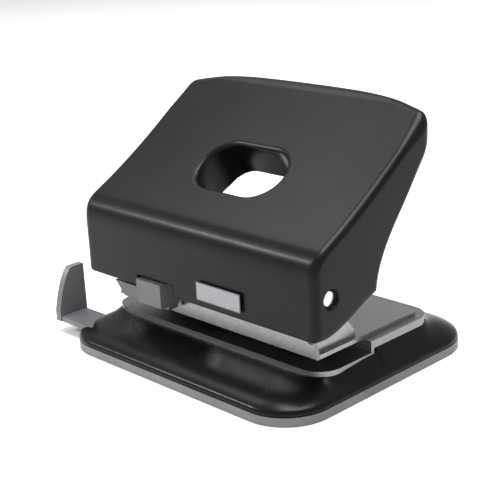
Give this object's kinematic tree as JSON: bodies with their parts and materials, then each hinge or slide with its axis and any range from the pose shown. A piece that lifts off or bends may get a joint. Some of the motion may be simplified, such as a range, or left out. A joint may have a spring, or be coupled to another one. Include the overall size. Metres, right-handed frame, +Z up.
{
  "type": "hole punch",
  "caption": "Two-hole desk punch: wide hinged handle with an oval thumb hole, pressed-steel punch unit, sliding paper guide and clip-on chip tray.",
  "frame": {"origin": "on the surface it stands on, under the middle of the steel die plate", "axes": "+X right along the row of holes, +Y away from the paper slot towards the handle's free end, +Z up"},
  "size_m": [0.1345, 0.1015, 0.0948],
  "materials": {
    "base_plastic": "fine satin moulded black",
    "tray_plastic": "soft grey moulded",
    "die_steel": "zinc-plated sheet",
    "bracket_steel": "zinc-plated sheet",
    "rivet_steel": "turned",
    "screw_steel": "zinc-plated",
    "guide_steel": "turned",
    "punch_steel": "ground and hardened",
    "cap_brass": "turned",
    "spring_steel": "bright wire",
    "axle_steel": "bright ground",
    "lever_steel": "pressed sheet",
    "handle_plastic": "satin black, softly glossy",
    "label_film": "blank printed film",
    "guide_plastic": "translucent smoke grey",
    "lock_plastic": "dark grey moulded"
  },
  "bodies": {
    "base": {"base_shell": "base_plastic", "base_plate": "die_steel", "punch_bracket": "bracket_steel", "rivets": "rivet_steel", "base_screws": "screw_steel", "pin_guide_left": "guide_steel", "pin_guide_right": "guide_steel", "return_spring_left": "spring_steel", "return_spring_right": "spring_steel", "pivot_axle": "axle_steel", "axle_clips": "screw_steel"},
    "handle": {"handle_cover": "handle_plastic", "lever_plate": "lever_steel", "cover_screws": "screw_steel", "blank_label": "label_film"},
    "pin_left": {"punch_pin_left": "punch_steel", "pin_cap_left": "cap_brass"},
    "pin_right": {"punch_pin_right": "punch_steel", "pin_cap_right": "cap_brass"},
    "guide": {"paper_guide": "guide_plastic"},
    "lock": {"lock_slider": "lock_plastic"},
    "tray": {"chip_tray": "tray_plastic"}
  },
  "joints": [
    {"name": "handle_press", "type": "hinge", "parent": "base", "child": "handle", "pos_m": [0, -0.036, 0.04], "axis": [-1, 0, 0], "range_deg": [0, 38], "stiffness_Nm_per_rad": 0.9, "springref_deg": -20.05},
    {"name": "pin_left_travel", "type": "slide", "parent": "base", "child": "pin_left", "axis": [0, 0, -1], "range_m": [0, 0.00752], "deforming": ["return_spring_left"]},
    {"name": "pin_right_travel", "type": "slide", "parent": "base", "child": "pin_right", "axis": [0, 0, -1], "range_m": [0, 0.00752], "deforming": ["return_spring_right"]},
    {"name": "guide_slide", "type": "slide", "parent": "base", "child": "guide", "axis": [-1, 0, 0], "range_m": [-0.006, 0.075]},
    {"name": "lock_slide", "type": "slide", "parent": "base", "child": "lock", "axis": [1, 0, 0], "range_m": [0, 0.005]},
    {"name": "tray_pull", "type": "slide", "parent": "base", "child": "tray", "axis": [0, 0, -1], "range_m": [0, 0.012]}
  ],
  "couplings": [
    {"joint": "pin_left_travel", "follows": "handle_press", "m_per_rad": 0.011308},
    {"joint": "pin_right_travel", "follows": "handle_press", "m_per_rad": 0.011308}
  ]
}
